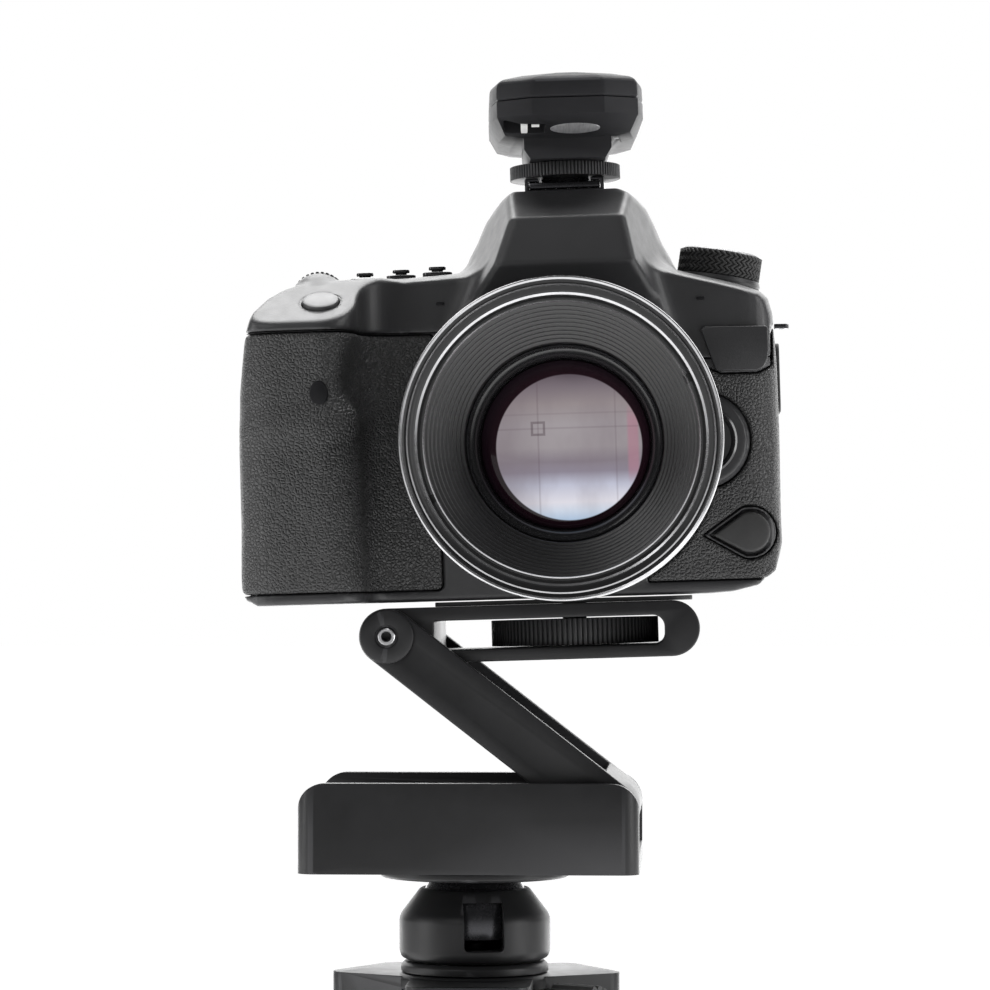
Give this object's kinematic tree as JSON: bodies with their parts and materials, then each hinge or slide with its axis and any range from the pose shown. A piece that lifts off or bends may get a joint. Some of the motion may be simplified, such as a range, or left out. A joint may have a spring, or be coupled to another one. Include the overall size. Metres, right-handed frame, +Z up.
{
  "type": "camera on tripod",
  "caption": "Digital reflex camera with a flash trigger on its shoe, held by a Z-fold tilt head and a small ball head on a compact tripod.",
  "frame": {"origin": "on the floor, under the centre of the bounding box", "axes": "+X to the right of someone facing the lens, +Y away from them (the lens looks along -Y), +Z up the centre column"},
  "size_m": [0.2768, 0.2432, 0.532],
  "materials": {
    "alloy": "satin",
    "glass": "gloss",
    "gloss": "gloss",
    "mirror": "polished",
    "pad": "matte",
    "plastic": "satin",
    "rubber": "matte",
    "steel": "satin",
    "white": "satin"
  },
  "bodies": {
    "stand": {"tripod_spider": "alloy", "leg_pin_1": "steel", "leg_pin_2": "steel", "leg_pin_3": "steel"},
    "leg_1": {"leg_upper_1": "alloy"},
    "leg_twist_lock_1": {"leg_lock_1": "rubber"},
    "leg_inner_tube_1": {"leg_lower_1": "alloy", "leg_foot_1": "rubber"},
    "leg_2": {"leg_upper_2": "alloy"},
    "leg_twist_lock_2": {"leg_lock_2": "rubber"},
    "leg_inner_tube_2": {"leg_lower_2": "alloy", "leg_foot_2": "rubber"},
    "leg_3": {"leg_upper_3": "alloy"},
    "leg_twist_lock_3": {"leg_lock_3": "rubber"},
    "leg_inner_tube_3": {"leg_lower_3": "alloy", "leg_foot_3": "rubber"},
    "column": {"center_column": "alloy", "ball_housing": "alloy"},
    "column_clamp": {"column_lock_knob": "rubber"},
    "ball_clamp": {"ball_lock_knob": "rubber"},
    "ball": {"leveling_ball": "steel"},
    "head_base": {"ball_platform": "alloy", "fold_base": "alloy", "lower_hinge_pin": "steel"},
    "head_arm": {"fold_arm": "alloy", "upper_hinge_screw": "alloy"},
    "wheel": {"camera_screw_wheel": "alloy"},
    "shutter_release": {"shutter_button": "gloss"},
    "front_dial": {"main_dial": "plastic"},
    "mode_selector": {"mode_dial": "plastic"},
    "button_1": {"top_button_1": "gloss"},
    "button_2": {"top_button_2": "gloss"},
    "button_3": {"top_button_3": "gloss"},
    "lens_release": {"lens_release_button": "gloss"},
    "thumb_dial": {"rear_dial": "rubber"},
    "mirror": {"reflex_mirror": "mirror"},
    "door": {"battery_door": "plastic"},
    "focus": {"focus_ring": "rubber"},
    "shoe_lock": {"trigger_lock_ring": "alloy"},
    "power_switch": {"trigger_switch": "white"},
    "camera": {"battery": "plastic", "camera_body": "plastic", "eyecup": "rubber", "front_element": "glass", "grip_leather": "rubber", "hot_shoe": "steel", "image_sensor": "gloss", "lcd_screen": "gloss", "lens_barrel": "plastic", "lens_mount_ring": "steel", "pentaprism": "glass", "plate_pad": "pad", "rear_cover": "plastic", "rear_element": "glass", "terminal_cover": "rubber", "tilt_plate": "alloy", "top_cover": "plastic", "trigger_foot": "steel", "trigger_lower_shell": "plastic", "trigger_upper_shell": "plastic"}
  },
  "joints": [
    {"name": "leg_1_fold", "type": "hinge", "parent": "stand", "child": "leg_1", "pos_m": [0, 0.00616, 0.28372], "axis": [1, 0, 0], "range_deg": [0, 20]},
    {"name": "leg_1_twist_lock", "type": "hinge", "parent": "leg_1", "child": "leg_twist_lock_1", "pos_m": [0, -0.08562, 0.05656], "axis": [0, 0.3746, 0.9272], "range_deg": [0, 120]},
    {"name": "leg_1_extend", "type": "slide", "parent": "leg_1", "child": "leg_inner_tube_1", "axis": [0, -0.3746, -0.9272], "range_m": [0, 0.16]},
    {"name": "leg_2_fold", "type": "hinge", "parent": "stand", "child": "leg_2", "pos_m": [0.02598, 0.05116, 0.28372], "axis": [-0.5, 0.866, 0], "range_deg": [0, 20]},
    {"name": "leg_2_twist_lock", "type": "hinge", "parent": "leg_2", "child": "leg_twist_lock_2", "pos_m": [0.10546, 0.09705, 0.05656], "axis": [-0.3244, -0.1873, 0.9272], "range_deg": [0, 120]},
    {"name": "leg_2_extend", "type": "slide", "parent": "leg_2", "child": "leg_inner_tube_2", "axis": [0.3244, 0.1873, -0.9272], "range_m": [0, 0.16]},
    {"name": "leg_3_fold", "type": "hinge", "parent": "stand", "child": "leg_3", "pos_m": [-0.02598, 0.05116, 0.28372], "axis": [-0.5, -0.866, 0], "range_deg": [0, 20]},
    {"name": "leg_3_twist_lock", "type": "hinge", "parent": "leg_3", "child": "leg_twist_lock_3", "pos_m": [-0.10546, 0.09705, 0.05656], "axis": [0.3244, -0.1873, 0.9272], "range_deg": [0, 120]},
    {"name": "leg_3_extend", "type": "slide", "parent": "leg_3", "child": "leg_inner_tube_3", "axis": [-0.3244, 0.1873, -0.9272], "range_m": [0, 0.16]},
    {"name": "column_raise", "type": "slide", "parent": "stand", "child": "column", "axis": [0, 0, 1], "range_m": [0, 0.15]},
    {"name": "column_knob_turn", "type": "hinge", "parent": "stand", "child": "column_clamp", "pos_m": [0, 0.03616, 0.28522], "axis": [0.866, -0.5, 0], "range_deg": [0, 180]},
    {"name": "ball_knob_turn", "type": "hinge", "parent": "column", "child": "ball_clamp", "pos_m": [0, 0.03616, 0.30622], "axis": [0, 1, 0], "range_deg": [0, 180]},
    {"name": "ball_nod", "type": "hinge", "parent": "column", "child": "ball", "pos_m": [0, 0.03616, 0.30992], "axis": [1, 0, 0], "range_deg": [-9, 9]},
    {"name": "head_pan", "type": "hinge", "parent": "ball", "child": "head_base", "pos_m": [0, 0.03616, 0.30992], "axis": [0, 0, 1], "continuous": true},
    {"name": "arm_fold", "type": "hinge", "parent": "head_base", "child": "head_arm", "pos_m": [0.03675, 0.03616, 0.33987], "axis": [0, 1, 0], "range_deg": [-25, 50]},
    {"name": "plate_tilt", "type": "hinge", "parent": "head_arm", "child": "camera", "pos_m": [-0.02109, 0.03616, 0.38473], "axis": [0, -1, 0], "range_deg": [-26, 55]},
    {"name": "camera_screw_turn", "type": "hinge", "parent": "camera", "child": "wheel", "pos_m": [0.02659, 0.03616, 0.38615], "axis": [-0.0297, 0, 0.9996], "continuous": true},
    {"name": "shutter_press", "type": "slide", "parent": "camera", "child": "shutter_release", "axis": [0.0255, 0.5105, -0.8595], "range_m": [0, 0.001], "stiffness_N_per_m": 60, "springref_m": -0.001},
    {"name": "top_button_1_press", "type": "slide", "parent": "camera", "child": "button_1", "axis": [0.0297, 0, -0.9996], "range_m": [0, 0.0008], "stiffness_N_per_m": 60, "springref_m": -0.001},
    {"name": "top_button_2_press", "type": "slide", "parent": "camera", "child": "button_2", "axis": [0.0297, 0, -0.9996], "range_m": [0, 0.0008], "stiffness_N_per_m": 60, "springref_m": -0.001},
    {"name": "top_button_3_press", "type": "slide", "parent": "camera", "child": "button_3", "axis": [0.0297, 0, -0.9996], "range_m": [0, 0.0008], "stiffness_N_per_m": 60, "springref_m": -0.001},
    {"name": "lens_release_press", "type": "slide", "parent": "camera", "child": "lens_release", "axis": [0, 1, 0], "range_m": [0, 0.001], "stiffness_N_per_m": 60, "springref_m": -0.001},
    {"name": "main_dial_turn", "type": "hinge", "parent": "camera", "child": "front_dial", "pos_m": [-0.03982, 0.02216, 0.47297], "axis": [0, 1, 0], "continuous": true},
    {"name": "mode_dial_turn", "type": "hinge", "parent": "camera", "child": "mode_selector", "pos_m": [0.06454, 0.03716, 0.47946], "axis": [0.1444, 0, 0.9895], "continuous": true},
    {"name": "rear_dial_turn", "type": "hinge", "parent": "camera", "child": "thumb_dial", "pos_m": [-0.03252, 0.06016, 0.42286], "axis": [0, 1, 0], "continuous": true},
    {"name": "mirror_flip", "type": "hinge", "parent": "camera", "child": "mirror", "pos_m": [0.02582, 0.04016, 0.4426], "axis": [-0.9996, 0, -0.0297], "range_deg": [0, 44], "stiffness_Nm_per_rad": 0.002, "springref_deg": -17.19},
    {"name": "battery_door_open", "type": "hinge", "parent": "camera", "child": "door", "pos_m": [-0.05384, 0.03616, 0.39261], "axis": [0, 1, 0], "range_deg": [0, 90]},
    {"name": "focus_turn", "type": "hinge", "parent": "camera", "child": "focus", "pos_m": [0.0261, 0.01256, 0.433], "axis": [0, -1, 0], "range_deg": [0, 100]},
    {"name": "shoe_ring_turn", "type": "hinge", "parent": "camera", "child": "shoe_lock", "pos_m": [0.02724, 0.04016, 0.39462], "axis": [-0.0297, 0, 0.9996], "range_deg": [0, 270]},
    {"name": "trigger_switch_slide", "type": "slide", "parent": "camera", "child": "power_switch", "axis": [-0.9977, -0.061, -0.0296], "range_m": [0, 0.004]}
  ]
}
